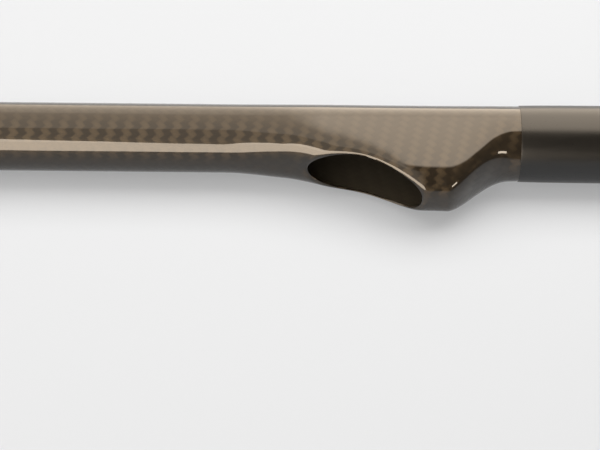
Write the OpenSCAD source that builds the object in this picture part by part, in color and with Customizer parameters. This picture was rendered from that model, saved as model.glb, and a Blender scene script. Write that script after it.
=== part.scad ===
// Throwing stick in carbon fibre. What it throws drops in through the mouth in the side of the scoop, and a
// swing of the stick sends it out of the muzzle. The stick lies along X, muzzle towards -X and butt towards
// +X, with the mouth facing -Y. The side away from the mouth, the spine, is one straight line.

/* [Throwing tube] */
// Bore of the throwing tube
bore_d = 25; // [20:0.5:32]
// Wall of the throwing tube
tube_wall = 1.2; // [0.8:0.1:2]
// Length of the throwing tube, from its muzzle end to the joint with the scoop
tube_len = 440; // [200:10:700]

/* [Muzzle ring] */
// How far the rubber ring covers the tube
ring_cover = 13; // [8:1:30]
// Rubber in front of the tube's cut end
ring_lip = 3; // [2:0.5:6]
// Rubber around the tube
ring_wall = 1.75; // [1:0.05:3]

/* [Joint band] */
// Length of the band over the joint between tube and scoop
band_len = 40; // [20:2:80]
// Thickness of the band
band_wall = 0.9; // [0.5:0.1:1.5]
// Slope length at each end of the band
band_taper = 3; // [1:0.5:8]

/* [Scoop] */
// Straight neck, from the joint to the front edge of the mouth
neck_len = 150; // [60:5:250]
// Wall of the scoop moulding
scoop_wall = 1.2; // [0.8:0.1:2]
// Length of the mouth along the stick
mouth_len = 46.8; // [30:0.2:70]
// Width of the mouth across the stick
mouth_w = 21; // [14:0.2:25.4]
// Bevel around the mouth's edge, seen square on
mouth_bevel = 1.2; // [0.2:0.1:1.6]
// How far the scoop's flanks stand out past the tube on each side
flank_swell = 0.7; // [0:0.1:4]
// How much deeper than its flanks the scoop is at its nose
nose_depth = 17.3; // [8:0.1:26]
// Squareness of the nose in cross-section: 2 is an ellipse
nose_square = 2.8; // [2:0.1:3.5]
// Distance ahead of the mouth at which the nose starts to deepen
swell_lead = 10; // [4:1:30]
// Distance ahead of the mouth at which the round tube starts to square up
flank_lead = 34; // [14:1:50]
// Distance behind the front of the mouth at which the flanks are full
flank_run = 6; // [0:1:14]
// Full-depth land behind the mouth
nose_land = 7.8; // [3:0.2:20]
// Length of the throat that runs down from the nose to the tail
throat_len = 25; // [16:0.5:50]
// Sharpness of the turn at the top of the throat: lower is sharper
throat_turn = 0.85; // [0.7:0.05:1.2]
// Straight round tail behind the throat
tail_len = 40; // [24:2:80]
// Diameter of the tail and of the handle tube
tail_d = 30; // [24:0.5:38]

/* [Handle] */
// Wall of the handle tube
handle_wall = 1.2; // [0.8:0.1:2]
// Length of the handle tube, from the tail to the butt
handle_len = 232; // [120:4:500]
// Bare tail in front of the grip sleeve
tail_bare = 4; // [2:0.2:20]
// Thickness of the shrunk grip sleeve
sleeve_t = 0.45; // [0.3:0.05:1.5]
// Thickness of the bulkhead that shuts the pocket off from the handle
bulkhead_t = 8; // [3:0.5:12]
// Length of the spigot inside the handle tube
spigot_reach = 30; // [15:1:80]
// Wall of the spigot
spigot_wall = 1.2; // [0.8:0.1:2]

/* [Butt cap] */
// Length of the cap's plug inside the handle tube
plug_len = 18; // [8:1:40]
// Thickness of the cap's flange
flange_t = 4; // [2.5:0.5:10]
// Rounding of the flange's outer edge
flange_round = 1.5; // [0.5:0.1:2.4]

/* [Fits] */
// Room for glue around a bonded piece
bond_clear = 0.1; // [0.05:0.05:0.3]
// Room under a piece that is stretched or shrunk on
skin_clear = 0.05; // [0.02:0.01:0.2]
// Glue line between two cut ends
end_gap = 0.2; // [0.1:0.05:0.5]

/* [Hidden] */
$fn = 96;

// Rows and columns of the scoop's surface
lead_rows = 9;
mouth_rows = 18;
land_rows = 2;
throat_rows = 12;
nose_cols = 10;
back_cols = 16;
ring_cols = 2 * nose_cols + back_cols;

// Radii, all measured from the axis of the piece they belong to
bore_r = bore_d / 2;
tube_r = bore_r + tube_wall;
ring_r = tube_r + skin_clear + ring_wall;
band_r = tube_r + skin_clear + band_wall;
flank_r = tube_r + flank_swell;
tail_r = tail_d / 2;
sleeve_r = tail_r + skin_clear + sleeve_t;
tail_bore_r = tail_r - scoop_wall;
handle_bore_r = tail_r - handle_wall;
spigot_r = min(tail_bore_r, handle_bore_r) - bond_clear;
plug_r = handle_bore_r - bond_clear;
ring_edge = ring_wall / 2;
bulkhead_edge = 1;

// Stations along the stick, counted from the front edge of the mouth
x_joint = -neck_len;
x_tube_end = x_joint - end_gap;
x_tube_front = x_tube_end - tube_len;
x_muzzle = x_tube_front - ring_lip;
x_land = mouth_len + nose_land;
x_throat_end = x_land + throat_len;
x_tail_end = x_throat_end + tail_len;
x_sleeve = x_throat_end + tail_bare;
x_bulkhead = x_throat_end + tail_bare;
x_spigot = x_bulkhead + bulkhead_t + end_gap;
x_handle = x_tail_end + end_gap;
x_flange = x_handle + handle_len;
x_butt = x_flange + flange_t;

// The tail's axis lies off the tube's axis, so that both share one spine
tail_shift = tail_r - tube_r;

// Smooth step from 0 to 1
function ease(t) = let (c = max(0, min(1, t))) c * c * (3 - 2 * c);

// Half-width of the scoop at a station
function flank_grow(x) = ease((x + flank_lead) / (flank_lead + flank_run));
function tail_grow(x) = ease((x - mouth_len) / (x_throat_end - mouth_len));
function half_width(x) = tube_r + (flank_r - tube_r) * flank_grow(x) + (tail_r - flank_r) * tail_grow(x);

// Distance from the tube's axis to the middle of the section
function mid_shift(x) = half_width(x) - tube_r;

// Depth of the nose below the middle of the section: it swells along the mouth and falls down the throat
function throat_fall(x) = ease(pow(max(0, min(1, (x - x_land) / throat_len)), throat_turn));
function swell(x) = ease((x + swell_lead) / (swell_lead + mouth_len));
function depth(x) = half_width(x) + nose_depth * swell(x) * (1 - throat_fall(x));

// Power of the nose's superellipse: 2 on the round ends
function squareness(x) = 2 + (nose_square - 2) * flank_grow(x) * (1 - tail_grow(x));

// Slope of the nose along the stick, which sets how far in the wall reaches
slope_step = 0.5;
function nose_slope(x) = (depth(x + slope_step) - depth(x - slope_step)) / (2 * slope_step);
function wall_in(x) = scoop_wall * sqrt(1 + pow(nose_slope(x), 2));

// Half-width of the mouth at a station, on the outer skin (inset 0) or the inner skin (inset 1): an ellipse
// seen square on, which the bevel widens on the outer skin
function mouth_grow(inset) = (1 - inset) * mouth_bevel;
function mouth_half(x, inset) =
    let (s = (x - mouth_len / 2) / (mouth_len / 2 + mouth_grow(inset)))
    (mouth_w / 2 + mouth_grow(inset)) * sqrt(max(0, 1 - s * s));

// A section's point [across the mouth, towards the mouth] at an angle from the nose, on a superellipse in
// front and a circle behind
function section_point(angle, across, deep, power) =
    cos(angle) > 0
    ? [across * sign(sin(angle)) * pow(abs(sin(angle)), 2 / power), deep * pow(cos(angle), 2 / power)]
    : [across * sin(angle), across * cos(angle)];

// Angle at which a section meets the edge of the mouth
function edge_angle(half, across, power) = asin(pow(half / across, power / 2));

// Angle of a column, from one edge of the mouth round the spine to the other
function column_angle(j, start) =
    j <= nose_cols ? start + (90 - start) * j / nose_cols
    : j <= nose_cols + back_cols ? 90 + 180 * (j - nose_cols) / back_cols
    : 270 + (90 - start) * (j - nose_cols - back_cols) / nose_cols;

// Stations of a skin's rows: joint, lead-in, mouth, land, throat, tail end
function spread(from, to, n) = [for (i = [1:n]) from + (to - from) * i / n];
function skin_stations(inset) =
    let (
        mouth_from = -mouth_grow(inset),
        mouth_to = mouth_len + mouth_grow(inset)
    )
    concat(
        [x_joint, -flank_lead],
        spread(-flank_lead, mouth_from, lead_rows),
        [for (i = [1:mouth_rows]) mouth_from + (mouth_to - mouth_from) * (1 - cos(180 * i / mouth_rows)) / 2],
        spread(mouth_to, x_land, land_rows),
        spread(x_land, x_throat_end, throat_rows),
        [x_tail_end]
    );
outer_stations = skin_stations(0);
inner_stations = skin_stations(1);

// Overall box, which puts the origin under its middle
u_nose = max([for (x = outer_stations) mid_shift(x) + depth(x)]);
u_back = max(ring_r, band_r, sleeve_r - tail_shift);
u_mid = (u_nose - u_back) / 2;
x_mid = (x_muzzle + x_butt) / 2;
z_mid = max(ring_r, band_r, sleeve_r, flank_r);

// Place of a point given along the stick, across the mouth and towards the mouth
function place(x, across, towards) = [x - x_mid, u_mid - towards, z_mid + across];

// One row of the scoop's outer skin (inset 0) or inner skin (inset 1)
function skin_row(x, inset) =
    let (
        across = half_width(x) - inset * scoop_wall,
        deep = depth(x) - inset * wall_in(x),
        power = squareness(x),
        start = edge_angle(mouth_half(x, inset), across, power)
    )
    [
        for (j = [0:ring_cols])
        let (p = section_point(column_angle(j, start), across, deep, power))
        place(x, p[0], mid_shift(x) + p[1])
    ];

// The mouth splits its rows open: there the last column is a point of its own, elsewhere the first again
mouth_first = 1 + lead_rows;
mouth_last = mouth_first + mouth_rows;
last_row = len(outer_stations) - 1;
row_points = ring_cols + 1;
skin_points = row_points * (last_row + 1);
function is_open(i) = i > mouth_first && i < mouth_last;
function at(i, j, skin) = skin * skin_points + i * row_points + (j == ring_cols && !is_open(i) ? 0 : j);

// Two triangles on four corners given anticlockwise from outside, without a triangle that has no area
function corner_faces(a, b, c, d) = concat(
    a == b || b == c || c == a ? [] : [[a, b, c]],
    a == c || c == d || d == a ? [] : [[a, c, d]]
);

scoop_faces = [
    for (i = [0:last_row - 1], j = [0:ring_cols - 1])
        each corner_faces(at(i, j, 0), at(i, j + 1, 0), at(i + 1, j + 1, 0), at(i + 1, j, 0)),
    for (i = [0:last_row - 1], j = [0:ring_cols - 1])
        each corner_faces(at(i, j, 1), at(i + 1, j, 1), at(i + 1, j + 1, 1), at(i, j + 1, 1)),
    for (i = [mouth_first:mouth_last - 1])
        each corner_faces(at(i, 0, 0), at(i + 1, 0, 0), at(i + 1, 0, 1), at(i, 0, 1)),
    for (i = [mouth_first:mouth_last - 1])
        each corner_faces(
            at(i + 1, ring_cols, 0), at(i, ring_cols, 0), at(i, ring_cols, 1), at(i + 1, ring_cols, 1)
        ),
    for (j = [0:ring_cols - 1])
        each corner_faces(at(0, j + 1, 0), at(0, j, 0), at(0, j, 1), at(0, j + 1, 1)),
    for (j = [0:ring_cols - 1])
        each corner_faces(
            at(last_row, j, 0), at(last_row, j + 1, 0), at(last_row, j + 1, 1), at(last_row, j, 1)
        )
];

carbon = "#3a342c";
carbon_dark = "#2a2622";
sleeve_black = "#1e1d1c";
rubber_black = "#242322";

// Turns a profile drawn as [radius, station] about the axis that lies shift towards the mouth
module turned(shift) {
    translate(place(0, 0, shift))
        rotate([0, 90, 0])
            rotate_extrude()
                children();
}

// A plain tube between two stations
module pipe(x_from, x_to, r_in, r_out, shift) {
    turned(shift)
        translate([r_in, x_from])
            square([r_out - r_in, x_to - x_from]);
}

// Rubber ring that guards the cut end of the tube, with the bore carried on through its lip
module muzzle_ring() {
    r_seat = tube_r + skin_clear;
    x_back = x_tube_front + ring_cover;
    color(rubber_black)
        turned(0)
            polygon([
                [bore_r, x_muzzle],
                [ring_r - ring_edge, x_muzzle],
                [ring_r, x_muzzle + ring_edge],
                [ring_r, x_back - ring_edge],
                [ring_r - ring_edge, x_back],
                [r_seat, x_back],
                [r_seat, x_tube_front],
                [bore_r, x_tube_front]
            ]);
}

// Straight carbon tube
module throwing_tube() {
    color(carbon)
        pipe(x_tube_front, x_tube_end, bore_r, tube_r, 0);
}

// Carbon band bonded over the joint, tapered at both ends
module joint_band() {
    r_seat = tube_r + skin_clear;
    r_end = r_seat + band_wall / 3;
    x_from = x_joint - band_len / 2;
    x_to = x_joint + band_len / 2;
    color(carbon_dark)
        turned(0)
            polygon([
                [r_seat, x_from],
                [r_end, x_from],
                [band_r, x_from + band_taper],
                [band_r, x_to - band_taper],
                [r_end, x_to],
                [r_seat, x_to]
            ]);
}

// Moulded scoop: neck, mouth, deep nose, throat and tail in one skin
module scoop_shell() {
    color(carbon)
        polyhedron(
            points = concat(
                [for (x = outer_stations) each skin_row(x, 0)],
                [for (x = inner_stations) each skin_row(x, 1)]
            ),
            faces = scoop_faces
        );
}

// Disc in the tail that closes the handle off
module bulkhead_plug() {
    r = tail_bore_r - bond_clear;
    x_back = x_bulkhead + bulkhead_t;
    color(carbon_dark)
        turned(tail_shift)
            polygon([
                [0, x_bulkhead],
                [r - bulkhead_edge, x_bulkhead],
                [r, x_bulkhead + bulkhead_edge],
                [r, x_back],
                [0, x_back]
            ]);
}

// Short inner tube that bonds the tail to the handle tube
module tail_spigot() {
    color(carbon_dark)
        pipe(x_spigot, x_handle + spigot_reach, spigot_r - spigot_wall, spigot_r, tail_shift);
}

// Carbon handle tube, covered by the grip sleeve
module handle_tube() {
    color(carbon_dark)
        pipe(x_handle, x_flange, handle_bore_r, tail_r, tail_shift);
}

// Shrunk sleeve over the tail and the handle tube
module grip_sleeve() {
    color(sleeve_black)
        pipe(x_sleeve, x_flange, tail_r + skin_clear, sleeve_r, tail_shift);
}

// Rubber cap: plug in the handle tube and a flange flush with the sleeve
module butt_cap() {
    round_steps = 6;
    color(rubber_black)
        turned(tail_shift)
            polygon(concat(
                [
                    [0, x_flange - plug_len],
                    [plug_r, x_flange - plug_len],
                    [plug_r, x_flange],
                    [sleeve_r, x_flange]
                ],
                [
                    for (i = [0:round_steps])
                    let (a = 90 * i / round_steps)
                    [sleeve_r - flange_round * (1 - cos(a)), x_butt - flange_round * (1 - sin(a))]
                ],
                [[0, x_butt]]
            ));
}

muzzle_ring();
throwing_tube();
joint_band();
scoop_shell();
bulkhead_plug();
tail_spigot();
handle_tube();
grip_sleeve();
butt_cap();
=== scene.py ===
# %% [markdown]
# # A carbon throwing stick
# The real stick is a straight carbon tube with a moulded scoop behind it and a sleeved round handle.
# What it throws is dropped into the scoop's oval mouth, and a swing sends it out along the tube.
# Every piece is drawn in the CAD model's own frame, in metres: the stick lies along X with its muzzle
# towards -X, the mouth faces -Y, and Z is up.

# %% Load the CAD model as the frame
import math

import bmesh
import bpy
import numpy as np
from mathutils import Matrix, Vector


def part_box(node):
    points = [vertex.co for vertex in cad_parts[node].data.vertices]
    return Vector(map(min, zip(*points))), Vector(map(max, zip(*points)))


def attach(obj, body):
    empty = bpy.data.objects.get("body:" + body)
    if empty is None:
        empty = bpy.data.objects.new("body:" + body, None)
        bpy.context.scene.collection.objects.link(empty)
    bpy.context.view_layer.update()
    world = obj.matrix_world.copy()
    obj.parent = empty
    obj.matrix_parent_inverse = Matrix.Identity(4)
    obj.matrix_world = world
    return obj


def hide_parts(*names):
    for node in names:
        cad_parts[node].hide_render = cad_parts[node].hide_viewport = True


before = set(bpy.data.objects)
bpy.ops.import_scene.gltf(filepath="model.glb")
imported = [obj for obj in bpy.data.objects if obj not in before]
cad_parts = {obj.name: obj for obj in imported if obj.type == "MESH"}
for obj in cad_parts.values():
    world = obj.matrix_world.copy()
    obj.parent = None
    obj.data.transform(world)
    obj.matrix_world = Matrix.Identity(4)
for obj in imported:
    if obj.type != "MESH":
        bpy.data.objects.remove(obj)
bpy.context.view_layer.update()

# %% [markdown]
# ## Sizes
# The round pieces are measured from the CAD nodes' boxes, so they can't drift away from the CAD model.
# Only the scoop's own curve needs numbers that no box shows, and they come with the scoop.

# %% Measure the round pieces
MM = 0.001


def measure(node):
    """Front end, back end, radius, and the axis's Y and Z of a round CAD node that lies along X."""
    low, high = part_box(node)
    middle = (low + high) / 2
    return low.x, high.x, (high.z - low.z) / 2, middle.y, middle.z


tube_front, tube_back, tube_r, tube_y, tube_z = measure("throwing_tube")
_, _, handle_r, handle_y, _ = measure("handle_tube")
scoop_low, scoop_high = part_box("scoop_shell")
print("tube radius", round(tube_r / MM, 2), "mm, handle radius", round(handle_r / MM, 2), "mm")

# %% [markdown]
# ## Camera
# The picture is taken from in front of the mouth, 48 degrees above the surface that the stick lies on,
# with a long lens, so the tube's edges run almost parallel. The stick lies above the middle of the
# picture and falls half a degree to the right. The lens stays unshifted: the camera is aimed a little
# below the stick instead.

# %% Place the camera
PICTURE_W, PICTURE_H = 600, 450
# The picture's scale at the stick, the angle at which the camera looks down, and its distance.
PIXELS_PER_M = 2500
VIEW_HEIGHT = math.radians(48)
VIEW_DISTANCE = 0.9
# The row of the tube's axis, the angle at which it falls to the right, and the mouth's front column.
STICK_ROW = 139.2
STICK_FALL = math.atan(0.0102)
MOUTH_COLUMN = 308
# The mouth starts this far behind the scoop's front end.
NECK_LEN = 150 * MM

mouth_front = scoop_low.x + NECK_LEN
aim_x = mouth_front + (PICTURE_W / 2 - MOUTH_COLUMN) / PIXELS_PER_M
below = math.atan((PICTURE_H / 2 - STICK_ROW) / PIXELS_PER_M / VIEW_DISTANCE)
to_camera = Vector((0, -math.cos(VIEW_HEIGHT), math.sin(VIEW_HEIGHT)))

lens = bpy.data.cameras.new("camera")
lens.type = "PERSP"
lens.sensor_width = 36
lens.lens = lens.sensor_width * PIXELS_PER_M * VIEW_DISTANCE / PICTURE_W
camera = bpy.data.objects.new("camera", lens)
bpy.context.scene.collection.objects.link(camera)
tilt = Matrix.Rotation(math.pi / 2 - VIEW_HEIGHT - below, 4, "X")
roll = Matrix.Rotation(STICK_FALL, 4, "Z")
spot = Vector((aim_x, tube_y, tube_z)) + VIEW_DISTANCE * to_camera
camera.matrix_world = Matrix.Translation(spot) @ tilt @ roll
bpy.context.scene.camera = camera
print("lens", round(lens.lens), "mm, camera at", [round(c, 3) for c in spot])

# %% [markdown]
# ## Colours and shader nodes
# Colours are written as sRGB hex values, as a paint chart gives them, and turned to the linear values
# that Blender works in. One small function adds a shader node with its settings and links.

# %% Colour and node helpers
def linear(hex_colour):
    """sRGB hex to linear RGBA: c / 12.92 near black, ((c + 0.055) / 1.055) ** 2.4 above."""
    srgb = [int(hex_colour[i : i + 2], 16) / 255 for i in (1, 3, 5)]
    return [c / 12.92 if c <= 0.04045 else ((c + 0.055) / 1.055) ** 2.4 for c in srgb] + [1]


def put(tree, kind, sockets=(), **settings):
    """Adds one node. Settings are its properties. Sockets are given by name or number, or as a plain list
    in their order. Each gets a value, or a link from another node's output: its first one, where only the
    node is given."""
    made = tree.nodes.new("ShaderNode" + kind)
    for key, value in settings.items():
        setattr(made, key, value)
    pairs = sockets.items() if isinstance(sockets, dict) else enumerate(sockets)
    for key, value in pairs:
        if isinstance(value, bpy.types.Node):
            value = value.outputs[0]
        if isinstance(value, bpy.types.NodeSocket):
            tree.links.new(value, made.inputs[key])
        else:
            made.inputs[key].default_value = value
    return made


def start_material(name):
    """An empty node material and its tree."""
    material = bpy.data.materials.new(name)
    material.use_nodes = True
    material.node_tree.nodes.clear()
    return material, material.node_tree


print("white is", linear("#ffffff"), "and mid grey is", round(linear("#808080")[0], 3))

# %% [markdown]
# ## Floor
# The stick lies on a plain pale floor. The floor's paint is a little blue, because the light is a little
# warm: together they give a neutral white. The camera, and reflections, see the paint lifted by a faint
# glow of its own, so the background is near white while no more light falls on the stick, and its shadow
# stays.

# %% Floor
FLOOR_HALF = 30.0
FLOOR_GLOW = 0.3

floor_corners = [(x * FLOOR_HALF, y * FLOOR_HALF, 0) for x, y in ((-1, -1), (1, -1), (1, 1), (-1, 1))]
floor_mesh = bpy.data.meshes.new("floor")
floor_mesh.from_pydata(floor_corners, [], [(0, 1, 2, 3)])
floor = bpy.data.objects.new("floor", floor_mesh)
bpy.context.scene.collection.objects.link(floor)

floor_paint, tree = start_material("pale_floor_paint")
rays = put(tree, "LightPath").outputs
seen = put(tree, "Math", [rays["Is Camera Ray"], rays["Is Glossy Ray"]], operation="MAXIMUM")
seen = put(tree, "Math", [seen, rays["Is Transmission Ray"]], operation="MAXIMUM")
glow = put(tree, "Math", [seen, FLOOR_GLOW], operation="MULTIPLY")
paint = put(tree, "BsdfDiffuse", {"Color": linear("#a6b2c4")})
shine = put(tree, "Emission", {"Strength": glow})
lifted = put(tree, "AddShader", [paint, shine])
put(tree, "OutputMaterial", {"Surface": lifted})
floor_mesh.materials.append(floor_paint)
print("floor", 2 * FLOOR_HALF, "m square")

# %% [markdown]
# ## Light
# Lacquered carbon shows the room more than its own colour, so each soft panel is placed for the band that
# it leaves along the stick. A panel's strength is the brightness of its surface, where 1 is white. Where a
# panel's edge would draw a hard line in the lacquer, the panel fades out, as cloth stretched over a lamp
# does. Where two panels overlap they hang 2 cm apart, because a ray that meets two lamps in one place sees
# only one of them. The standing panels show only in the gloss: as lamps this low and near, they would light
# the floor unevenly.

# %% Light panels
WARM = (1.0, 0.855, 0.69)


def panel(name, corner, across, up, brightness, fade=(0, 0, 0, 0), gloss_only=False):
    """A flat soft light on a corner and two edges, which shines away from across x up. Its power is
    brightness x area x pi, because a flat lamp's power is shared over its area and over the half-sphere
    in front of it. Fade is how many metres the light takes to rise from nothing: from the start of across
    and from its end, then from the start of up and from its end. A gloss_only panel shows in reflections
    and lights nothing matt."""
    corner, across, up = Vector(corner), Vector(across), Vector(up)
    lamp = bpy.data.lights.new(name, "AREA")
    lamp.shape = "RECTANGLE"
    lamp.size, lamp.size_y = across.length, up.length
    lamp.color = WARM
    lamp.energy = brightness * math.pi * across.length * up.length
    lamp.use_nodes = True
    tree = lamp.node_tree
    tree.nodes.clear()
    on_panel = put(tree, "NewGeometry").outputs["Parametric"]
    u, v, _ = put(tree, "SeparateXYZ", [on_panel]).outputs
    lengths = (across.length, across.length, up.length, up.length)
    level = 1.0
    for way, length, edge, run in zip((u, u, v, v), lengths, (0, 1, 0, 1), fade):
        if run:
            inside = abs(edge - run / length)
            rise = put(tree, "MapRange", [way, edge, inside], interpolation_type="SMOOTHSTEP")
            level = put(tree, "Math", [level, rise], operation="MULTIPLY")
    shine = put(tree, "Emission", {"Strength": level})
    put(tree, "OutputLight", {"Surface": shine})
    made = bpy.data.objects.new(name, lamp)
    bpy.context.scene.collection.objects.link(made)
    turn = Matrix((across.normalized(), up.normalized(), across.cross(up).normalized())).transposed()
    made.matrix_world = Matrix.Translation(corner + (across + up) / 2) @ turn.to_4x4()
    made.visible_camera = False
    made.visible_diffuse = not gloss_only


print("the light's colour is", WARM)

# %% Hang the panels
# In front, low: the bright stripe. The right wing swings away, so the stripe thins out along the lip.
panel("front_panel", (-0.20, -0.341, 0.02), (0.33, -0.585, 0), (0, 0, 0.42), 9.0, gloss_only=True)
panel("front_panel_side", (-1.0, -0.341, 0.02), (0.80, 0, 0), (0, 0, 0.42), 9.0, gloss_only=True)
# In front, to the right: the small glints in the throat.
panel("spark_panel", (0.68, -0.85, 0.26), (0.27, 0.25, 0), (0, 0, 0.13), 14.0, gloss_only=True)
# Between the front panels and the ceiling: the dim zone above the stripe.
panel("fill_panel", (-1.0, -0.80, 0.47), (1.20, 0, 0), (0, 0.60, 0.43), 1.2, (0, 0.12, 0, 0))
# Overhead: the grey zone on the tube, then the pale flank of the scoop.
panel("top_panel", (-1.0, -0.20, 0.9), (1.14, 0, 0), (0, 1.10, 0), 2.2, (0, 0.1, 0, 0))
panel("key_panel", (0.04, -0.08, 0.92), (0.96, 0, 0), (0, 1.00, 0), 4.8, (0.1, 0, 0.1, 0))
# Behind: the band along the top, on the scoop and then on the tube.
panel("back_panel", (1.0, 0.92, 0), (-0.96, 0, 0), (0, 0, 0.92), 4.2, (0, 0.1, 0, 0), gloss_only=True)
panel("back_panel_side", (0.14, 0.9, 0), (-1.14, 0, 0), (0, 0, 0.9), 2.8, (0.1, 0, 0, 0), gloss_only=True)

# %% Light of the room
ROOM_LIGHT = 0.2

world = bpy.data.worlds.new("room")
bpy.context.scene.world = world
world.use_nodes = True
tree = world.node_tree
tree.nodes.clear()
backdrop = put(tree, "Background", {"Color": (*WARM, 1), "Strength": ROOM_LIGHT})
put(tree, "OutputWorld", {"Surface": backdrop})
bpy.context.scene.view_settings.view_transform = "Standard"
print("the room adds a brightness of", ROOM_LIGHT)

# %% [markdown]
# ## Woven carbon under lacquer
# The tube and the scoop are twill carbon cloth set in resin, with clear gloss lacquer over it. The cloth
# is cut on the bias, so its tows cross at 45 degrees to the tube and the twill's ribs run round it. Both
# families are the same carbon: the tows that lean one way are painted light and the others dark, in ribs
# 6.4 mm apart, as a painted sheen, with a painted highlight along each light tow's crown. The pattern is
# worked out on the cloth's own UV map, which is in metres along and round the tube. The lacquer is the
# shader's coat: it stays smooth while the cloth under it is bumped, and it only waves a little, as a
# brushed and cured coat does.

# %% Twill pattern
# Whole numbers, so that the pattern meets itself round the tube: tow crossings in one turn, the ribs that
# it climbs in one turn, and the tows after which a twill repeats.
TOWS_ROUND, TURN_LEAN, REPEAT = 27, 3, 4
# A B tow's number ends in this fraction, so no A tow has the same one.
B_FRACTION = 0.37
tow = 2 * math.pi * tube_r / TOWS_ROUND / math.sqrt(2)
rib = 2 * math.sqrt(2) * tow
lean = TURN_LEAN * rib / (2 * math.pi * tube_r)


def cloth_pattern(tree):
    """The twill's own values at a point, from (u, v) on the cloth: a = (u + lean v + v) / (tow root 2)
    and b = (u + lean v - v) / (tow root 2) count the tows of the two families. Family A is on top where
    (floor a + floor b) modulo 4 is under 2. A tow on top runs over two others, so its height there is
    half a sine wave along it times half a sine wave across it. Returns the family on top, the height and
    the tow's number."""
    on_cloth = put(tree, "UVMap", uv_map="cloth")
    u, v, _ = put(tree, "SeparateXYZ", [on_cloth]).outputs
    per_tow = 1 / (tow * math.sqrt(2))
    across = put(tree, "Math", [v, per_tow], operation="MULTIPLY")
    slant = put(tree, "Math", [across, lean], operation="MULTIPLY")
    along = put(tree, "Math", [u, per_tow, slant], operation="MULTIPLY_ADD")
    a = put(tree, "Math", [along, across], operation="ADD")
    b = put(tree, "Math", [along, across], operation="SUBTRACT")
    floor_a = put(tree, "Math", [a], operation="FLOOR")
    floor_b = put(tree, "Math", [b], operation="FLOOR")
    steps = put(tree, "Math", [floor_a, floor_b], operation="ADD")
    step = put(tree, "Math", [steps, REPEAT], operation="FLOORED_MODULO")
    # The step is a whole number, so 1.5 parts 0 and 1 from 2 and 3.
    a_on_top = put(tree, "Math", [step, 1.5], operation="LESS_THAN")
    crowns = []
    for own, other, other_floor, start in ((a, b, floor_b, 0), (b, a, floor_a, -math.pi)):
        laps = put(tree, "Math", [own, other_floor], operation="ADD")
        lap = put(tree, "Math", [laps, REPEAT], operation="FLOORED_MODULO")
        run = put(tree, "Math", [lap, math.pi / 2, start], operation="MULTIPLY_ADD")
        part = put(tree, "Math", [other], operation="FRACT")
        width = put(tree, "Math", [part, math.pi], operation="MULTIPLY")
        long_wave = put(tree, "Math", [run], operation="SINE")
        cross_wave = put(tree, "Math", [width], operation="SINE")
        crowns.append(put(tree, "Math", [long_wave, cross_wave], operation="MULTIPLY"))
    crown = put(tree, "Mix", {0: a_on_top, 2: crowns[1], 3: crowns[0]})
    b_number = put(tree, "Math", [floor_a, B_FRACTION], operation="ADD")
    number = put(tree, "Mix", {0: a_on_top, 2: b_number, 3: floor_b})
    return a_on_top, crown, number


print("tow", round(tow / MM, 2), "mm, ribs every", round(rib / MM, 2), "mm along the tube")

# %% Woven carbon materials
# The lacquer's waves, length and depth, and how far a tow stands up.
LACQUER_WAVE, WAVE_DEPTH, TOW_DEPTH = 14 * MM, 0.1 * MM, 0.08 * MM
# How much single tows differ in shade, and how much of a light tow's painted sheen is a painted highlight
# that follows its height.
SHADE_SPREAD, CROWN_HIGHLIGHT_SHARE = 0.1, 0.55


def woven_carbon(name, light, dark, metal, roughness, coat_roughness):
    """Twill carbon: tows of one carbon, each a little different, rounded across and dipping at its ends.
    The light and dark of the two families are a painted sheen, with a painted highlight on each light tow's
    crown.
    Its filaments shine like dull metal, most across their own run, so the shine is stretched and turned
    45 degrees one way or the other with the family on top: the ribs show in the half-lit zones and fade
    where both families mirror the same lamp. The metal part gives that shine, and the coat is the
    lacquer."""
    material, tree = start_material(name)
    a_on_top, crown, number = cloth_pattern(tree)
    shade = put(tree, "TexWhiteNoise", {"W": number}, noise_dimensions="1D")
    vary = put(tree, "MapRange", {0: shade, 3: -SHADE_SPREAD, 4: SHADE_SPREAD})
    # Painted sheen: the family on top is painted lighter, and lightest at its crown as a painted highlight.
    swell = put(tree, "Math", [crown, CROWN_HIGHLIGHT_SHARE, 1 - CROWN_HIGHLIGHT_SHARE], operation="MULTIPLY_ADD")
    level = put(tree, "Math", [a_on_top, swell, vary], operation="MULTIPLY_ADD")
    colour = put(tree, "Mix", {0: level, 6: linear(dark), 7: linear(light)}, data_type="RGBA").outputs[2]
    bump = put(tree, "Bump", {"Strength": 0.35, "Distance": TOW_DEPTH, "Height": crown})
    point = put(tree, "TexCoord").outputs["Object"]
    wave = put(tree, "TexNoise", {"Vector": point, "Scale": 1 / LACQUER_WAVE, "Detail": 1.0})
    flow = put(tree, "Bump", {"Strength": 1.0, "Distance": WAVE_DEPTH, "Height": wave})
    # In turns: family A leans 45 degrees, an eighth of a turn, and family B three eighths.
    turn = put(tree, "MapRange", {0: a_on_top, 3: 3 / 8, 4: 1 / 8})
    tangent = put(tree, "Tangent", direction_type="UV_MAP", uv_map="cloth")
    surface = put(tree, "BsdfPrincipled", {
        "Base Color": colour,
        "Metallic": metal,
        "Roughness": roughness,
        "Specular IOR Level": 0.0,
        "Anisotropic": 0.9,
        "Anisotropic Rotation": turn,
        "Tangent": tangent,
        "Normal": bump,
        "Coat Weight": 1.0,
        "Coat Roughness": coat_roughness,
        "Coat IOR": 1.5,
        "Coat Normal": flow,
    })
    put(tree, "OutputMaterial", {"Surface": surface})
    return material


# In both, light and dark are the same tows lit and shaded: their difference is a painted sheen.
# Outside: clear gloss lacquer, so it mirrors the lamps sharply and the weave lies deep below.
carbon_gloss = woven_carbon(
    "carbon_twill_gloss_lacquer", light="#322b21", dark="#28221a",
    metal=0.8, roughness=0.42, coat_roughness=0.03,
)
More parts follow.
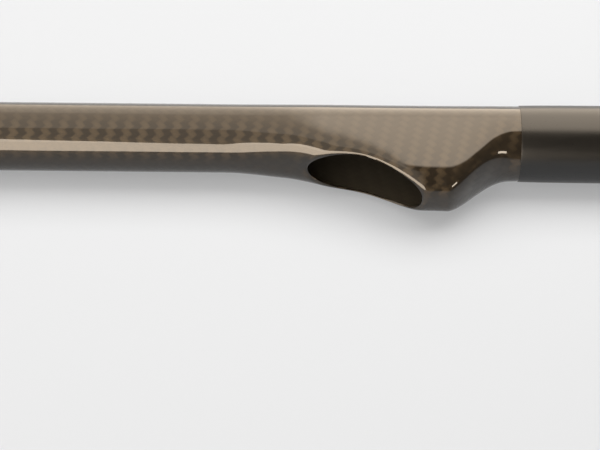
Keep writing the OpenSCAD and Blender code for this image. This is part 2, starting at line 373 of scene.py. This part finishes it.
# Inside: resin as it left the mandrel, with no lacquer and no polish: dull, with a blurred sheen. Its grey
# is painted lighter than bare carbon would be, a painted fill for the little light that reaches inside.
# Its coat is the resin's own skin.
carbon_inside = woven_carbon(
    "carbon_twill_raw_inside", light="#565249", dark="#514d45",
    metal=0.0, roughness=0.5, coat_roughness=0.35,
)
print("woven carbon:", carbon_gloss.name, carbon_inside.name)

# %% [markdown]
# ## Wound carbon
# The band over the joint, the handle tube and its spigot are carbon tape wound round a mandrel and left
# satin: fine filaments run almost straight round, and the tape's edges show as a slow spiral. The pattern
# comes from each point's place along X and its angle round the axis.

# %% Wound carbon
# The tape's width and thickness, the width of the dip along its edge, and of a bundle of filaments.
TAPE_W, TAPE_DEPTH, TAPE_EDGE, FILAMENT_W = 9 * MM, 0.08 * MM, 0.54 * MM, 0.7 * MM


def wound_carbon(name, axis_y):
    """Spiral tape: along = x / TAPE_W + angle / full turn counts the tape's windings, and across is the
    distance to the nearer whole number, which is a tape edge. The tape dips and darkens within TAPE_EDGE
    of it. The filaments are noise stretched round the tube. Real ones are finer than a hair, so they are
    drawn coarser, as bundles of FILAMENT_W."""
    material, tree = start_material(name)
    point = put(tree, "TexCoord").outputs["Object"]
    x, y, z = put(tree, "SeparateXYZ", [point]).outputs
    off_y = put(tree, "Math", [y, axis_y], operation="SUBTRACT")
    off_z = put(tree, "Math", [z, tube_z], operation="SUBTRACT")
    angle = put(tree, "Math", [off_z, off_y], operation="ARCTAN2")
    turn = put(tree, "Math", [angle, 1 / (2 * math.pi)], operation="MULTIPLY")
    along = put(tree, "Math", [x, 1 / TAPE_W, turn], operation="MULTIPLY_ADD")
    across = put(tree, "Math", [along, 0.5], operation="PINGPONG")
    edge = put(tree, "MapRange", [across, 0.0, TAPE_EDGE / TAPE_W], interpolation_type="SMOOTHSTEP")
    bundle = put(tree, "Math", [along, TAPE_W / FILAMENT_W], operation="MULTIPLY")
    round_y = put(tree, "Math", [angle], operation="COSINE")
    round_z = put(tree, "Math", [angle], operation="SINE")
    lay = put(tree, "CombineXYZ", [bundle, round_y, round_z])
    threads = put(tree, "TexNoise", {"Vector": lay, "Scale": 1.0, "Detail": 2.0})
    height = put(tree, "MapRange", {0: threads, 3: 0.35, 4: 1.0})
    level = put(tree, "Math", [height, edge], operation="MULTIPLY")
    dark, light = linear("#060505"), linear("#2a2622")
    colour = put(tree, "Mix", {0: level, 6: dark, 7: light}, data_type="RGBA").outputs[2]
    rough = put(tree, "MapRange", {0: threads, 3: 0.2, 4: 0.28})
    bump = put(tree, "Bump", {"Strength": 0.5, "Distance": TAPE_DEPTH, "Height": level})
    surface = put(tree, "BsdfPrincipled", {
        "Base Color": colour,
        "Roughness": rough,
        "Normal": bump,
        "IOR": 1.55,
    })
    put(tree, "OutputMaterial", {"Surface": surface})
    return material


# Satin: lamps show as soft bands, and the slow spiral of tape edges gives them thin dark lines.
band_carbon = wound_carbon("carbon_tape_wound_satin", tube_y)
handle_carbon = wound_carbon("carbon_tape_wound_handle", handle_y)
print("wound carbon: tape", TAPE_W / MM, "mm wide")

# %% [markdown]
# ## Sleeve film, rubber and plug
# The grip is a heat-shrunk polyolefin sleeve: dull black film that keeps fine creases along the tube from
# shrinking. The ring and the cap are moulded rubber, matt with a fine grain from the mould. The plug is
# moulded ABS. All three are one material function: a black with grain, faint stains and uneven roughness.

# %% Moulded blacks
# Stains are this many grains wide.
STAIN = 12


def black_polymer(name, dark, light, grain, stretch, depth, rough, specular):
    """Two noises on Object coordinates: one of the grain's size, stretched along the stick, for the bump,
    and one STAIN times as large for a faint unevenness of the colour. Their product, about 0.1 to 0.4,
    sets the roughness between its two values."""
    material, tree = start_material(name)
    point = put(tree, "TexCoord").outputs["Object"]
    along = put(tree, "Mapping", {"Vector": point, "Scale": (1 / stretch, 1, 1)})
    fine = put(tree, "TexNoise", {"Vector": along, "Scale": 1 / grain, "Detail": 3.0})
    broad = put(tree, "TexNoise", {"Vector": along, "Scale": 1 / (STAIN * grain), "Detail": 2.0})
    colour = put(tree, "Mix", {0: broad, 6: linear(dark), 7: linear(light)}, data_type="RGBA").outputs[2]
    mixed = put(tree, "Math", [fine, broad], operation="MULTIPLY")
    uneven = put(tree, "MapRange", [mixed, 0.1, 0.4, *rough])
    bump = put(tree, "Bump", {"Strength": 0.5, "Distance": depth, "Height": fine})
    surface = put(tree, "BsdfPrincipled", {
        "Base Color": colour,
        "Roughness": uneven,
        "Normal": bump,
        "Specular IOR Level": specular,
    })
    put(tree, "OutputMaterial", {"Surface": surface})
    return material


# Film: thin and stretched smooth, so it keeps a soft sheen. Its creases are 0.4 mm wide and four times as
# long. A real one's are finer, and these are the finest that show.
shrink_film = black_polymer(
    "polyolefin_film_heat_shrunk", dark="#080807", light="#0d0c0b",
    grain=0.4 * MM, stretch=4, depth=0.01 * MM, rough=(0.27, 0.33), specular=0.5,
)
# Rubber: no shine, only a dull bloom. Its grain of 0.6 mm is drawn coarser than the mould's, to show.
rubber = black_polymer(
    "rubber_moulded_matt", dark="#131416", light="#1d1e20",
    grain=0.6 * MM, stretch=1, depth=0.03 * MM, rough=(0.52, 0.7), specular=0.25,
)
# Plug: a harder plastic with a grain of 0.8 mm, drawn coarser too, a little smoother and greyer.
plug_abs = black_polymer(
    "abs_moulded_matt", dark="#1c1c1b", light="#272625",
    grain=0.8 * MM, stretch=1, depth=0.03 * MM, rough=(0.4, 0.52), specular=0.5,
)
print("blacks:", shrink_film.name, rubber.name, plug_abs.name)

# %% [markdown]
# ## Building a piece
# A piece is one or more sheets: grids of points worked out as whole arrays. The sheets of one piece share
# their edges, so welding the points that coincide closes the seams. Each point also keeps its place on
# the cloth.

# %% Join sheets into a piece
WELD = 0.0001 * MM
# Faces that meet at more than this angle keep a crisp edge.
SHARP = math.radians(32)


def build_piece(name, sheets, materials, node):
    """One closed mesh from sheets of (points, cloth, material number, turned over). Cell (i, j) of a
    sheet joins the corners (i, j), (i, j + 1), (i + 1, j + 1) and (i + 1, j), anticlockwise seen from
    outside."""
    points, cloth, faces, kinds, start = [], [], [], [], 0
    for grid, uv, kind, over in sheets:
        rows, cols = grid.shape[:2]
        corner = start + (np.arange(rows - 1)[:, None] * cols + np.arange(cols - 1)).ravel()
        cells = np.stack([corner, corner + 1, corner + cols + 1, corner + cols], axis=1)
        faces.append(cells[:, ::-1] if over else cells)
        kinds.append(np.full(len(cells), kind))
        points.append(grid.reshape(-1, 3))
        cloth.append(uv.reshape(-1, 2))
        start += rows * cols
    faces = np.concatenate(faces)
    mesh = bpy.data.meshes.new(name)
    mesh.from_pydata(np.concatenate(points).tolist(), [], faces.tolist())
    corner_uv = np.concatenate(cloth)[faces.ravel()]
    mesh.uv_layers.new(name="cloth").data.foreach_set("uv", corner_uv.ravel())
    for material in materials:
        mesh.materials.append(material)
    mesh.polygons.foreach_set("material_index", np.concatenate(kinds))
    weld = bmesh.new()
    weld.from_mesh(mesh)
    bmesh.ops.remove_doubles(weld, verts=weld.verts, dist=WELD)
    loose = sum(1 for edge in weld.edges if len(edge.link_faces) != 2)
    weld.to_mesh(mesh)
    weld.free()
    mesh.shade_smooth()
    mesh.set_sharp_from_angle(angle=SHARP)
    piece = bpy.data.objects.new(name, mesh)
    bpy.context.scene.collection.objects.link(piece)
    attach(piece, "root")
    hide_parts(node)
    print(name, len(mesh.polygons), "faces,", loose, "open edges")


print("points within", WELD / MM, "mm are welded")

# %% Turn a profile round an axis
SIDES = 128


def turned(profile, axis_y):
    """Carries a profile of (x, radius) round an axis along X. At angle t from the spine, the point is (x,
    axis_y + radius cos t, tube_z + radius sin t), and its place on the cloth is (x, t x tube radius). The
    profile runs so that the outside lies on its left, seen with X to the right and the radius up."""
    x, radius = np.array(profile, float).T[:, :, None]
    t = np.linspace(-math.pi, math.pi, SIDES + 1)
    ring_cos, ring_sin = np.cos(t), np.sin(t)
    ring_cos[-1], ring_sin[-1] = ring_cos[0], ring_sin[0]
    y, z = axis_y + radius * ring_cos, tube_z + radius * ring_sin
    points = np.stack(np.broadcast_arrays(x, y, z), axis=2)
    cloth = np.stack(np.broadcast_arrays(x, t * tube_r), axis=2)
    return points, cloth


print("a turned profile has", SIDES, "sides, each", round(2 * math.pi * tube_r / SIDES / MM, 2), "mm wide")

# %% Round a profile's corners
ROUND_POINTS = 7


def outline(*corners, closed=True):
    """A profile from corners of (x, radius, rounding). A rounded corner is a curve from the point that
    lies that far before it to the point that lies that far after it: (1 - s)^2 start + 2 s (1 - s) corner
    + s^2 end."""
    spots = np.array([corner[:2] for corner in corners], float)
    made = []
    for i, (_, _, size) in enumerate(corners):
        if not size:
            made.append(spots[i][None])
            continue
        before, after = spots[i - 1] - spots[i], spots[(i + 1) % len(spots)] - spots[i]
        first = spots[i] + before * size / np.linalg.norm(before)
        last = spots[i] + after * size / np.linalg.norm(after)
        s = np.linspace(0, 1, ROUND_POINTS)[:, None]
        made.append((1 - s) ** 2 * first + 2 * s * (1 - s) * spots[i] + s**2 * last)
    return np.concatenate([*made, made[0][:1]] if closed else made)


trial = outline((0, 0, 0), (0, 1, 0.5), (1, 1, 0), closed=False)
print("one rounded corner between two sharp ones makes", len(trial), "points")

# %% [markdown]
# ## Scoop
# The scoop is one moulding: a round neck as wide as the tube, flanks that stand out a little, a nose that
# deepens below the oval mouth, a throat that runs back up to the round tail. The side away from the
# mouth, the spine, stays one straight line. It is drawn as sections across the stick: half a circle on
# the spine's side, half a superellipse on the nose's. Where the mouth is open, a section stops at the
# mouth's edge, which is an oval with a fuller back end, seen square on.

# %% Scoop sizes
WALL = 1.2 * MM
# Stations are counted from the front end of the CAD model's mouth, which is MOUTH_LEN long.
MOUTH_LEN = 46.8 * MM
# The mouth's drawn edge: its ends, its width, how full its back end is, and how wide its lip is.
MOUTH_FRONT, MOUTH_BACK, MOUTH_W = -0.3 * MM, 44.3 * MM, 21.8 * MM
MOUTH_FULL, LIP = 0.6, 2.8 * MM
# The flanks stand out by FLANK_SWELL, from FLANK_LEAD before the mouth's front end to FLANK_RUN behind it.
FLANK_SWELL, FLANK_LEAD, FLANK_RUN = 0.7 * MM, 34 * MM, 6 * MM
# The nose deepens by NOSE_DEPTH from SWELL_LEAD before the mouth, and stays deep for NOSE_LAND behind it.
NOSE_DEPTH, SWELL_LEAD, NOSE_LAND = 17.3 * MM, 10 * MM, 7.8 * MM
# The throat falls off over THROAT_LEN, and a turn under 1 makes it start sooner.
THROAT_LEN, THROAT_TURN = 25 * MM, 0.85
# The nose's power, and the stations between which it fades back to a circle's.
NOSE_SQUARE, SQUARE_FROM, SQUARE_TO = 2.8, 58 * MM, 84 * MM

land_end = MOUTH_LEN + NOSE_LAND
throat_end = land_end + THROAT_LEN
tail_end = scoop_high.x - mouth_front
mouth_mm = (MOUTH_BACK - MOUTH_FRONT) / MM
print("mouth", round(mouth_mm, 1), "by", MOUTH_W / MM, "mm, throat to", round(throat_end / MM, 1), "mm")

# %% Scoop sections
NUDGE = 0.5 * MM


def ease(t):
    """Smooth step from 0 to 1: 3 t^2 - 2 t^3."""
    t = np.clip(t, 0, 1)
    return t * t * (3 - 2 * t)


def section_sizes(x):
    """At a station x behind the mouth's front edge: half-width, depth of the nose, and the nose's power.
    The half-width eases from the tube's to the flanks' to the tail's; the depth swells along the mouth
    and falls down the throat; the power is 2, a circle or ellipse, on the round ends and NOSE_SQUARE
    between."""
    flank = ease((x + FLANK_LEAD) / (FLANK_LEAD + FLANK_RUN))
    tail = ease((x - MOUTH_LEN) / (throat_end - MOUTH_LEN))
    half = tube_r + FLANK_SWELL * flank + (handle_r - tube_r - FLANK_SWELL) * tail
    fall = ease(np.clip((x - land_end) / THROAT_LEN, 0, 1) ** THROAT_TURN)
    swell = ease((x + SWELL_LEAD) / (SWELL_LEAD + MOUTH_LEN))
    square = flank * (1 - ease((x - SQUARE_FROM) / (SQUARE_TO - SQUARE_FROM)))
    return half, half + NOSE_DEPTH * swell * (1 - fall), 2 + (NOSE_SQUARE - 2) * square


def skin_sizes(x, inset):
    """Half-width, depth, power and shift of the section's middle, on the outer skin (inset 0), the inner
    one (inset 1) or between. The inner lies one wall further in, measured square to the sloping nose."""
    half, depth, power = section_sizes(x)
    slope = (section_sizes(x + NUDGE)[1] - section_sizes(x - NUDGE)[1]) / (2 * NUDGE)
    return half - inset * WALL, depth - inset * WALL * np.sqrt(1 + slope**2), power, half - tube_r


def place(x, across, towards):
    """From station, distance across the mouth and distance towards the mouth to the frame's X, Y, Z."""
    return np.stack(np.broadcast_arrays(mouth_front + x, tube_y - towards, tube_z + across), axis=-1)


nose_depth = section_sizes(land_end)[1]
print("the nose reaches", round(nose_depth / MM, 1), "mm from the section's middle")

# %% [markdown]
# ### Skins
# The outer and the inner skin are two sheets with the same rows and columns, so that strips can join them
# at both ends and round the mouth. The inner skin runs up to the mouth's edge, and the outer one stops a
# lip's width before it. Rows lie closer where the shape turns.

# %% Mouth edge and rows
NECK_ROWS, LEAD_ROWS, MOUTH_ROWS, LAND_ROWS, THROAT_ROWS, TAIL_ROWS = 30, 28, 80, 7, 43, 9


def mouth_edge(turn, grow):
    """The mouth's edge at an angle from its front: station and distance across, grown by the lip or not.
    It is an ellipse in front. Behind, it is a superellipse, |cos turn|^(2/power) by sin^(2/power) turn,
    whose power rises to 2 + MOUTH_FULL at the back end."""
    reach = (MOUTH_BACK - MOUTH_FRONT) / 2 + grow
    power = 2 + MOUTH_FULL * np.clip(-np.cos(turn), 0, 1)
    along = np.sign(np.cos(turn)) * np.abs(np.cos(turn)) ** (2 / power)
    x = (MOUTH_FRONT + MOUTH_BACK) / 2 - reach * along
    return x, (MOUTH_W / 2 + grow) * np.abs(np.sin(turn)) ** (2 / power)


def stations(grow):
    """Stations of a skin's rows, closer where the shape turns, and half the mouth's width at each."""
    x, across = mouth_edge(np.linspace(0, math.pi, MOUTH_ROWS + 1), grow)
    before = np.concatenate([
        np.linspace(-NECK_LEN, -FLANK_LEAD, NECK_ROWS + 1)[:-1],
        np.linspace(-FLANK_LEAD, x[0], LEAD_ROWS + 1)[:-1],
    ])
    after = np.concatenate([
        np.linspace(x[-1], land_end, LAND_ROWS + 1)[1:],
        np.linspace(land_end, throat_end, THROAT_ROWS + 1)[1:],
        np.linspace(throat_end, tail_end, TAIL_ROWS + 1)[1:],
    ])
    return np.concatenate([before, x, after]), np.concatenate([0 * before, across, 0 * after])


print("rows along the scoop:", len(stations(LIP)[0]))

# %% Scoop skins
NOSE_COLS, BACK_COLS = 44, 64


def skin(inset):
    """One skin as rows along the stick and columns from one edge of the mouth round the spine to the
    other. At an angle t from the spine, a back point is (half sin t, -half cos t). In front, with s the
    angle from the nose, it is (half sin^(2/power) s, depth cos^(2/power) s), which is a superellipse."""
    grow = (1 - inset) * LIP
    x, open_half = (row[:, None] for row in stations(grow))
    half, depth, power, shift = skin_sizes(x, inset)
    edge = np.arcsin((open_half / half) ** (power / 2))
    s = edge + (math.pi / 2 - edge) * np.linspace(0, 1, NOSE_COLS + 1)[None, :-1]
    nose_across = half * np.sin(s) ** (2 / power)
    nose_towards = depth * np.cos(s) ** (2 / power)
    t = np.linspace(-math.pi / 2, math.pi / 2, BACK_COLS + 1)[None, :]
    across = np.concatenate([-nose_across, half * np.sin(t), nose_across[:, ::-1]], axis=1)
    towards = np.concatenate([nose_towards, -half * np.cos(t), nose_towards[:, ::-1]], axis=1)
    points = place(x, across, shift + towards)
    steps = np.linalg.norm(np.diff(points[:, :, 1:], axis=1), axis=2)
    arc = np.concatenate([np.zeros((len(x), 1)), np.cumsum(steps, axis=1)], axis=1)
    arc -= arc[:, arc.shape[1] // 2, None]
    cloth = np.stack(np.broadcast_arrays(mouth_front + x, arc), axis=2)
    return points, cloth


outer, outer_cloth = skin(0)
inner, inner_cloth = skin(1)
print("skins of", outer.shape[0], "rows by", outer.shape[1], "columns")

# %% [markdown]
# ### Rolled lip
# The mouth's edge is turned in and rounded, so that nothing catches on it and no cut cloth shows. Its
# bend catches the light as a thin line round the mouth. It is one profile carried round the mouth, and it
# joins the outer skin to the inner one.

# %% Rolled lip
# Where the bend turns in and how deep it goes, then the rounding and the lean of the rim inside it.
ROLL, ROLL_DEPTH, RIM_ROUND, RIM_LEAN = 1.3 * MM, 0.7 * MM, 0.3 * MM, 0.2 * MM
lip_profile = outline(
    (LIP, 0, 0), (ROLL, 0, ROLL), (RIM_LEAN, ROLL_DEPTH, RIM_ROUND), (0, WALL, 0), closed=False
)


def lip(side):
    """Half of the mouth's lip, on side 1 or -1: lip_profile, whose points are (distance outside the
    mouth's edge, depth below the outer skin), carried round the mouth. Its cloth runs on from the outer
    skin's."""
    turn = np.linspace(0, math.pi, MOUTH_ROWS + 1)[:, None]
    grow, deep = lip_profile.T[:, None, :]
    x, across = mouth_edge(turn, grow)
    half, depth, power, shift = skin_sizes(x, deep / WALL)
    towards = depth * (1 - np.abs(across / half) ** power) ** (1 / power)
    points = place(x, side * across, shift + towards)
    first_row = NECK_ROWS + LEAD_ROWS
    edge_v = outer_cloth[first_row : first_row + MOUTH_ROWS + 1, -1 if side > 0 else 0, 1]
    steps = np.linalg.norm(np.diff(points, axis=1, prepend=points[:, :1]), axis=2)
    run = np.cumsum(steps, axis=1)
    return points, np.stack([points[:, :, 0], edge_v[:, None] + side * run], axis=2)


print("lip profile of", len(lip_profile), "points")

# %% Join the scoop
skins = [(outer, outer_cloth, 0, False), (inner, inner_cloth, 1, True)]
lips = [(*lip(1), 0, False), (*lip(-1), 0, True)]
ends = [
    (np.stack([inner[0], outer[0]]), np.stack([inner_cloth[0], outer_cloth[0]]), 1, False),
    (np.stack([outer[-1], inner[-1]]), np.stack([outer_cloth[-1], inner_cloth[-1]]), 1, False),
]
build_piece(
    "moulded_scoop", [*skins, *lips, *ends],
    [carbon_gloss, carbon_inside], "scoop_shell",
)

# %% [markdown]
# ## Throwing tube
# A plain tube of the same cloth and lacquer, raw inside. Its profile is the wall's outline, carried round
# the axis in two sheets, so that the bore can have its own finish.

# %% Throwing tube
TUBE_RINGS = 45
bore_r = tube_r - WALL
tube_x = np.linspace(tube_front, tube_back, TUBE_RINGS)
tube_outside = [(tube_front, bore_r), *((x, tube_r) for x in tube_x), (tube_back, bore_r)]
tube_bore = [(tube_back, bore_r), (tube_front, bore_r)]
build_piece(
    "throwing_tube_lacquered",
    [(*turned(tube_outside, tube_y), 0, False), (*turned(tube_bore, tube_y), 1, False)],
    [carbon_gloss, carbon_inside], "throwing_tube",
)

# %% [markdown]
# ## Joint band
# Tube and scoop meet butt to butt under a wound carbon band. Its ends are sanded to a taper, so they have
# no hard step, and the wet resin leaves them softly rounded.

# %% Joint band
SKIN_GAP = 0.05 * MM
# The taper's length, the share of the wall that is left at its end, and the rounding of both its corners.
BAND_TAPER, BAND_LEFT, BAND_SOFT, BAND_EDGE = 3 * MM, 1 / 3, 1.5 * MM, 0.15 * MM
band_front, band_back, band_r, _, _ = measure("joint_band")
band_seat = tube_r + SKIN_GAP
band_end_r = band_seat + (band_r - band_seat) * BAND_LEFT
band_profile = outline(
    (band_front, band_seat, 0), (band_front, band_end_r, BAND_EDGE),
    (band_front + BAND_TAPER, band_r, BAND_SOFT), (band_back - BAND_TAPER, band_r, BAND_SOFT),
    (band_back, band_end_r, BAND_EDGE), (band_back, band_seat, 0),
)
build_piece(
    "wound_joint_band", [(*turned(band_profile, tube_y), 0, False)],
    [band_carbon], "joint_band",
)

# %% [markdown]
# ## Muzzle ring
# A moulded rubber ring guards the cut end of the tube. Its edges are rounded, and two shallow grooves let
# it give when it is pushed on over the tube.

# %% Muzzle ring
RING_ROUND, BORE_ROUND = 1.1 * MM, 0.5 * MM
GROOVE_W, GROOVE_DEPTH, GROOVE_SOFT, GROOVE_SIDE = 1.4 * MM, 0.5 * MM, 0.3 * MM, 0.25 * MM
FIRST_GROOVE, SECOND_GROOVE = 6 * MM, 10 * MM
ring_front, ring_back, ring_r, _, _ = measure("muzzle_ring")


def groove(x):
    """The corners of one shallow groove round the ring, from its front edge to its back edge."""
    front, back = x - GROOVE_W / 2, x + GROOVE_W / 2
    floor_r = ring_r - GROOVE_DEPTH
    return [
        (front, ring_r, GROOVE_SOFT), (front + GROOVE_SIDE, floor_r, GROOVE_SOFT),
        (back - GROOVE_SIDE, floor_r, GROOVE_SOFT), (back, ring_r, GROOVE_SOFT),
    ]


ring_profile = outline(
    (ring_front, bore_r, BORE_ROUND), (ring_front, ring_r, RING_ROUND),
    *groove(ring_front + FIRST_GROOVE), *groove(ring_front + SECOND_GROOVE),
    (ring_back, ring_r, RING_ROUND), (ring_back, band_seat, 0),
    (tube_front, band_seat, 0), (tube_front, bore_r, 0),
)
build_piece(
    "rubber_muzzle_ring", [(*turned(ring_profile, tube_y), 0, False)],
    [rubber], "muzzle_ring",
)

# %% [markdown]
# ## Grip sleeve
# The sleeve is a tube of film shrunk over the tail and the handle. It is stretched thin at its free end,
# which lies almost flush on the tail with a soft edge that catches the light, and it sinks a little where
# it crosses the end of the tail.

# %% Grip sleeve
FILM_THIN, THIN_RUN, SINK, SINK_W = 0.27 * MM, 11 * MM, 0.06 * MM, 2.5 * MM
# The rounding of the free edge, and where the smooth film starts behind it.
FILM_EDGE, EDGE_RUN = 0.12 * MM, 0.25 * MM
# The rings of points along the film are set in three stretches, which end behind the free end, behind the
# tail's end and at the butt.
FINE_RUN, SINK_RUN = 15 * MM, 10 * MM
FINE_RINGS, TAIL_RINGS, HANDLE_RINGS = 16, 40, 24
sleeve_front, sleeve_back, sleeve_r, _, _ = measure("grip_sleeve")
sleeve_in = handle_r + SKIN_GAP


def film_radius(x):
    """Outer radius along the sleeve: smaller by FILM_THIN at the free end, which fades as exp(-distance /
    THIN_RUN), and by SINK in a bell curve of width SINK_W over the end of the tail."""
    thin = FILM_THIN * np.exp(-(x - sleeve_front) / THIN_RUN)
    dip = SINK * np.exp(-(((x - scoop_high.x) / SINK_W) ** 2))
    return sleeve_r - thin - dip


fine_end, sink_end = sleeve_front + FINE_RUN, scoop_high.x + SINK_RUN
film_x = np.concatenate([
    np.linspace(sleeve_front + EDGE_RUN, fine_end, FINE_RINGS)[:-1],
    np.linspace(fine_end, sink_end, TAIL_RINGS)[:-1],
    np.linspace(sink_end, sleeve_back, HANDLE_RINGS),
])
edge_r = film_radius(sleeve_front)
film_edge = outline(
    (sleeve_front, sleeve_in, 0), (sleeve_front, edge_r, FILM_EDGE), (film_x[0], edge_r, 0), closed=False
)
film_skin = np.stack([film_x, film_radius(film_x)], axis=1)
film_profile = [*film_edge[:-1], *film_skin, (sleeve_back, sleeve_in), (sleeve_front, sleeve_in)]
build_piece(
    "shrunk_grip_sleeve", [(*turned(film_profile, handle_y), 0, False)],
    [shrink_film], "grip_sleeve",
)

# %% [markdown]
# ## Butt cap
# A moulded rubber cap closes the handle: a plug inside the tube and a flange flush with the sleeve. Its
# face is flat, so the stick stands on it, with a shallow ring groove and a small gate mark left by the
# mould.

# %% Butt cap
FLANGE_T, FLANGE_ROUND, FLANGE_EDGE = 4 * MM, 1.5 * MM, 0.2 * MM
PLUG_R, PLUG_ROUND = 13.7 * MM, 0.8 * MM
# The face groove is cut round FACE_R: half as wide at its floor as at its top, with softened edges.
FACE_R, FACE_TOP, FACE_FLOOR, TOP_SOFT, FLOOR_SOFT = 10.5 * MM, 0.6 * MM, 0.3 * MM, 0.25 * MM, 0.2 * MM
GATE_R, GATE_SIDE, GATE_SOFT, MARK_DEPTH = 2.2 * MM, 0.4 * MM, 0.3 * MM, 0.4 * MM
cap_front, cap_back, cap_r, _, _ = measure("butt_cap")
flange = cap_back - FLANGE_T
mark = cap_back - MARK_DEPTH
cap_profile = outline(
    (cap_front, 0, 0), (cap_front, PLUG_R, PLUG_ROUND),
    (flange, PLUG_R, 0), (flange, cap_r, FLANGE_EDGE), (cap_back, cap_r, FLANGE_ROUND),
    (cap_back, FACE_R + FACE_TOP, TOP_SOFT), (mark, FACE_R + FACE_FLOOR, FLOOR_SOFT),
    (mark, FACE_R - FACE_FLOOR, FLOOR_SOFT), (cap_back, FACE_R - FACE_TOP, TOP_SOFT),
    (cap_back, GATE_R, GATE_SOFT), (mark, GATE_R - GATE_SIDE, GATE_SOFT), (mark, 0, 0), closed=False,
)
build_piece(
    "rubber_butt_cap", [(*turned(cap_profile, handle_y), 0, False)],
    [rubber], "butt_cap",
)

# %% [markdown]
# ## Pieces inside
# The handle tube, its spigot and the bulkhead plug are out of sight, and their CAD shapes are right as
# they are. They keep their meshes and get the finish of what they are made of.

# %% Finish the CAD nodes that stay
inside_finish = {"handle_tube": handle_carbon, "tail_spigot": handle_carbon, "bulkhead_plug": plug_abs}
for node, finish in inside_finish.items():
    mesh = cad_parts[node].data
    mesh.materials.clear()
    mesh.materials.append(finish)
print("CAD nodes that stay:", list(inside_finish))
